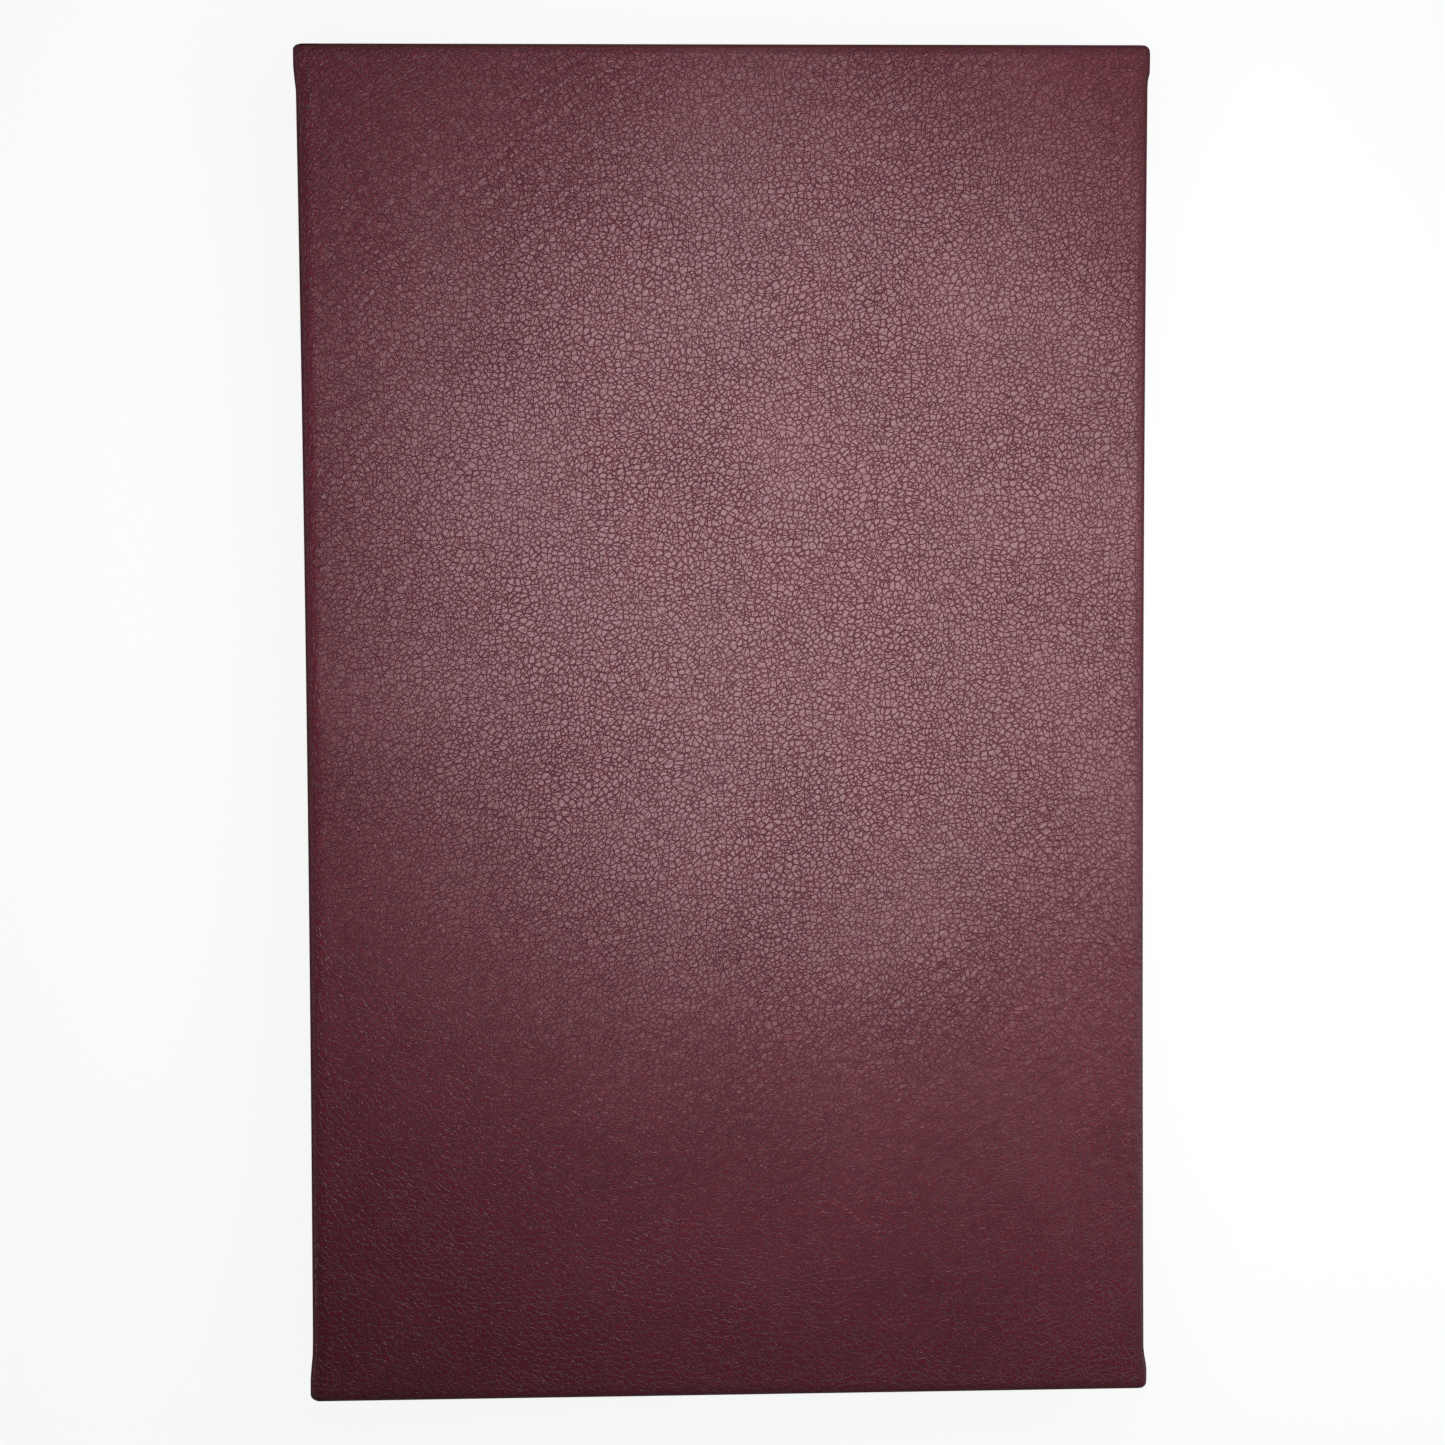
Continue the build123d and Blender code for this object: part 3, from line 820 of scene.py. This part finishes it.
PILLOW_REACH = 3.2 * MM           # from a weld to the full height of the pocket
POCKET_COLUMNS = 2
SHARP_FOLD = 0.6                  # radians, for a crisp edge
# Stations up a pocket, as shares of its height, close together at its welded foot
POCKET_RISES = (0.0, 0.012, 0.024, 0.045, 0.08, 0.13, 0.2, 0.3, 0.42, 0.55, 0.68, 0.8, 0.9,
                0.97, 1.0)
FROST_FROM = 0.5                  # frost above which film is welded and no longer clear


def leaf_wave(x, y, left, seed):
    """How far a leaf lies off its flat plane; the punched strip stays flat."""
    free = smooth((x - left - STRIP_WIDTH) / WAVE_START)
    return LEAF_WAVE * free * noise.noise(Vector((x / WAVE_ACROSS, y / WAVE_ALONG, seed)))


def film_sheet(work, grid, thickness, frost):
    """One film over rows of (x, y, z): its upper face and its cut edges.

    The lower face of clear film adds nothing that can be seen, so it is left out.
    """
    layer = work.verts.layers.float["frost"]
    rows = []
    for i, row in enumerate(grid):
        made = [work.verts.new((x, y, z + thickness)) for x, y, z in row]
        for j, vertex in enumerate(made):
            vertex[layer] = frost[i][j]
        rows.append(made)
    last_row, last_column = len(grid) - 1, len(grid[0]) - 1
    for i in range(last_row):
        for j in range(last_column):
            corners = ((i, j), (i, j + 1), (i + 1, j + 1), (i + 1, j))
            face = work.faces.new([rows[a][b] for a, b in corners])
            if min(frost[a][b] for a, b in corners) > FROST_FROM:
                face.material_index = 1
    border = [(0, j) for j in range(last_column)]
    border += [(i, last_column) for i in range(last_row)]
    border += [(last_row, j) for j in range(last_column, 0, -1)]
    border += [(i, 0) for i in range(last_row, 0, -1)]
    feet = [work.verts.new(grid[i][j]) for i, j in border]
    for k, (i, j) in enumerate(border):
        after = (k + 1) % len(border)
        a, b = border[after]
        wall = work.faces.new((feet[k], feet[after], rows[a][b], rows[i][j]))
        wall.material_index = 1


def ring_of(x, y, radius, count):
    """Points on a circle."""
    turns = [2 * math.pi * i / count for i in range(count)]
    return [(x + radius * math.cos(t), y + radius * math.sin(t)) for t in turns]


def filled_triangles(loops, height):
    """Triangles over flat loops, as corner numbers; sorted, as the fill's order varies."""
    flat = bmesh.new()
    edges = []
    for loop in loops:
        made = [flat.verts.new((x, y, height)) for x, y in loop]
        edges += [flat.edges.new((made[i - 1], made[i])) for i in range(len(made))]
    flat.verts.index_update()
    filled = bmesh.ops.triangle_fill(flat, edges=edges, use_beauty=True)["geom"]
    triangles = sorted(sorted(vertex.index for vertex in face.verts)
                       for face in filled if isinstance(face, bmesh.types.BMFace))
    flat.free()
    return triangles


def punched_strip(work, left, half, bottom):
    """The thick binding strip with its three holes."""
    layer = work.verts.layers.float["frost"]
    right = left + STRIP_WIDTH
    radius = STRIP_CORNER
    outline = [(right, half), (left + radius, half)]
    outline += [(left + radius * (1 - math.sin(t)), half - radius * (1 - math.cos(t)))
                for t in np.linspace(0, math.pi / 2, 7)[1:]]
    outline += [(x, -y) for x, y in reversed(outline)]
    loops = [outline]
    for y in (-RING_PITCH, 0.0, RING_PITCH):
        loops.append(ring_of(left + PUNCH_MARGIN, y, PUNCH_RADIUS, HOLE_STEPS))
    under = [work.verts.new((x, y, bottom)) for loop in loops for x, y in loop]
    upper = [work.verts.new((x, y, bottom)) for loop in loops for x, y in loop]
    bmesh.ops.translate(work, verts=upper, vec=(0, 0, STRIP_THICKNESS))
    for vertex in upper:
        vertex[layer] = STRIP_FROST
    for corners in filled_triangles(loops, bottom):
        work.faces.new([under[i] for i in corners])
        work.faces.new([upper[i] for i in corners])
    first = 0
    for loop in loops:
        for i in range(len(loop)):
            a, b = first + (i - 1) % len(loop), first + i
            work.faces.new((under[a], under[b], upper[b], upper[a]))
        first += len(loop)


def finish_film(work, name, body, node):
    """Makes the piece of a worked mesh, with crisp cut edges, and puts it in its node's place."""
    bmesh.ops.recalc_face_normals(work, faces=work.faces)
    for edge in work.edges:
        if len(edge.link_faces) == 2 and edge.calc_face_angle() > SHARP_FOLD:
            edge.smooth = False
    for face in work.faces:
        face.smooth = True
    mesh = bpy.data.meshes.new(name)
    work.to_mesh(mesh)
    work.free()
    mesh.materials.append(FILM)
    mesh.materials.append(WELDED_FILM)
    piece = bpy.data.objects.new(name, mesh)
    bpy.context.scene.collection.objects.link(piece)
    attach(piece, body)
    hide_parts(node)


def back_sheet(body, seed):
    """The back film of a leaf: a wavy sheet welded to the flat punched strip."""
    low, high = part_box(f"{body}_back_film")
    half, left = high.y, low.x
    start = left + STRIP_WIDTH - STRIP_OVERLAP
    xs = spread(start, high.x, FILM_STEP_X)
    ys = spread(-half, half, FILM_STEP_Y)
    work = bmesh.new()
    work.verts.layers.float.new("frost")
    grid = [[(x, y, low.z + leaf_wave(x, y, left, seed)) for x in xs] for y in ys]
    film_sheet(work, grid, FILM_THICKNESS, [[0.0] * len(xs)] * len(ys))
    punched_strip(work, left, half, low.z)
    finish_film(work, f"{body}_back_sheet", body, f"{body}_back_film")


def pocket_columns(start, weld_step):
    """Across a row of pockets: stations close together at the welds and the thumb notches."""
    half = (weld_step - WELD) / 2
    notch = [THUMB_RADIUS * math.sin(t) for t in np.linspace(-math.pi / 2, math.pi / 2, 15)]
    near = [half, half - 0.6 * MM, half - 1.6 * MM, half - 3 * MM, half - 5.5 * MM, 14 * MM]
    stations = [-x for x in near] + notch + near[::-1]
    columns = [start]
    for i in range(POCKET_COLUMNS):
        centre = start + WELD + half + i * weld_step
        columns += [centre + x for x in stations]
    return columns + [columns[-1] + WELD]


def pocket_sheet(body, seed):
    """The pocket film of a leaf: four pillowed rows with thumb notches, and the weld lines."""
    low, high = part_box(f"{body}_pocket_film")
    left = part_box(f"{body}_back_film")[0].x
    base = low.z
    start, end, half = low.x, high.x, high.y
    weld_step = (end - start - WELD) / POCKET_COLUMNS
    columns = pocket_columns(start, weld_step)
    row_height = 2 * half / POCKET_ROWS
    work = bmesh.new()
    work.verts.layers.float.new("frost")
    for row in range(POCKET_ROWS):
        bottom = row * row_height - half
        mouth = bottom + row_height - MOUTH_GAP
        grid, frost = [], []
        for t in POCKET_RISES:
            points, frosted = [], []
            for x in columns:
                place = (x - start - WELD) % weld_step
                wide = weld_step - WELD
                aside = abs(place - wide / 2)
                notch = math.sqrt(max(THUMB_RADIUS ** 2 - aside ** 2, 0.0))
                y = bottom + (mouth - notch - bottom) * t
                clear = max(wide / 2 - aside, 0.0)
                if x - start < WELD / 2 or end - x < WELD / 2:
                    clear = 0.0
                pillow = smooth(clear / PILLOW_REACH) * smooth((y - bottom - WELD) / PILLOW_REACH)
                z = base + POCKET_GAP * pillow + leaf_wave(x, y, left, seed)
                points.append((x, y, z))
                welded = max(smooth(1 - clear / WELD_FADE),
                             smooth(1 - (y - bottom - WELD) / WELD_FADE))
                frosted.append(welded)
            grid.append(points)
            frost.append(frosted)
        film_sheet(work, grid, FILM_THICKNESS, frost)
    for i in range(POCKET_COLUMNS + 1):
        x = start + i * weld_step
        xs = (x, x + WELD)
        ys = spread(-half, half, FILM_STEP_Y)
        grid = [[(x, y, base + leaf_wave(x, y, left, seed)) for x in xs] for y in ys]
        film_sheet(work, grid, FILM_THICKNESS * WELD_BEAD, [[1.0] * 2] * len(ys))
    finish_film(work, f"{body}_pocket_sheet", body, f"{body}_pocket_film")


for number in range(1, LEAF_COUNT + 1):
    leaf = f"leaf_{number:02d}"
    back_sheet(leaf, LEAF_SEED * number)
    pocket_sheet(leaf, LEAF_SEED * number)

# ---- Materials of the carried-over CAD nodes ----

CAD_MATERIALS = {
    BOARD: ("front_board", "back_board", "spine_board"),
    NICKEL: ("ring_housing", "housing_rivets", "ring_halves_front", "ring_halves_back",
             "trigger_head", "trigger_tail", "trigger_pins"),
    STEEL: ("carrier_front", "carrier_back"),
}
for material, nodes in CAD_MATERIALS.items():
    for node in nodes:
        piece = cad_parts[node]
        piece.data.materials.clear()
        piece.data.materials.append(material)

# ---- Stage, light and camera ----

FLOOR_SIZE = 30.0
FLOOR_DROP = 0.05 * MM            # under the ripple of the back cover's outer face
FLOOR_GLOW = 0.97
BACKDROP = rgb(0.93, 0.94, 0.935)
KEY_POWER, KEY_SIZE, KEY_SPREAD = 0.41, 0.21, 135
SIDE_POWER, SIDE_SIZE = 0.11, 0.12
# The horizon band fades out between these heights, from one strength to the other
BAND_LOW, BAND_HIGH = 0.02, 0.34
BAND_STRENGTH, ROOM_STRENGTH = 0.85, 0.02


def floor():
    """A wide pale floor with an even glow of its own, which no surface mirrors."""
    s = Shader("pale_floor", Roughness=0.9, Base_Color=rgb(0.1, 0.1, 0.1))
    s.surface.inputs["Specular IOR Level"].default_value = 0.0
    s.surface.inputs["Emission Color"].default_value = BACKDROP
    s.surface.inputs["Emission Strength"].default_value = FLOOR_GLOW
    half = FLOOR_SIZE / 2
    corners = [(x, y, -FLOOR_DROP) for x, y in
               ((-half, -half), (half, -half), (half, half), (-half, half))]
    piece = new_piece("floor", corners, [(0, 1, 2, 3)], {}, s.material)
    piece.visible_glossy = False


def lamp(name, place, aim, size, power, spread=180):
    """A soft round light aimed at a point; a smaller spread keeps it on the middle."""
    data = bpy.data.lights.new(name, "AREA")
    data.shape = "DISK"
    data.size = size
    data.energy = power
    data.spread = math.radians(spread)
    made = bpy.data.objects.new(name, data)
    made.location = place
    made.rotation_euler = (Vector(aim) - Vector(place)).to_track_quat("-Z", "Y").to_euler()
    bpy.context.scene.collection.objects.link(made)


def room():
    """A dim room with a pale band round the horizon, for the metal to mirror."""
    world = bpy.data.worlds.new("soft_room")
    world.use_nodes = True
    nodes, links = world.node_tree.nodes, world.node_tree.links
    place = nodes.new("ShaderNodeTexCoord")
    split = nodes.new("ShaderNodeSeparateXYZ")
    band = nodes.new("ShaderNodeMapRange")
    height = nodes.new("ShaderNodeMath")
    height.operation = "ABSOLUTE"
    band.interpolation_type = "SMOOTHSTEP"
    for socket, value in (("From Min", BAND_LOW), ("From Max", BAND_HIGH),
                          ("To Min", BAND_STRENGTH), ("To Max", ROOM_STRENGTH)):
        band.inputs[socket].default_value = value
    links.new(place.outputs["Generated"], split.inputs[0])
    links.new(split.outputs["Z"], height.inputs[0])
    links.new(height.outputs[0], band.inputs[0])
    background = nodes["Background"]
    background.inputs["Color"].default_value = (1, 1, 1, 1)
    links.new(band.outputs[0], background.inputs["Strength"])
    bpy.context.scene.world = world


CAMERA_LENS = 65.0                # for a 36 mm sensor
CAMERA_PLACE = (-17.3 * MM, 25.4 * MM, 466 * MM)   # from the middle of the front cover
CAMERA_TILT = (-2.974, -2.049, -0.298)             # degrees about X, Y and Z

floor()
room()
lamp("key", (0.028, 0.034, THICKNESS + 0.165), (0.024, 0.034, THICKNESS),
     KEY_SIZE, KEY_POWER, spread=KEY_SPREAD)
lamp("side", (0.20, -0.08, THICKNESS + 0.07), (0.10, -0.07, THICKNESS), SIDE_SIZE, SIDE_POWER)

camera_data = bpy.data.cameras.new("camera")
camera_data.lens = CAMERA_LENS
camera_data.clip_start = 0.01
camera = bpy.data.objects.new("camera", camera_data)
camera.location = Vector(CAMERA_PLACE) + Vector((0, 0, THICKNESS - OUTER_ROUND))
camera.rotation_euler = Euler([math.radians(a) for a in CAMERA_TILT])
bpy.context.scene.collection.objects.link(camera)
bpy.context.scene.camera = camera
bpy.context.scene.view_settings.view_transform = "Standard"
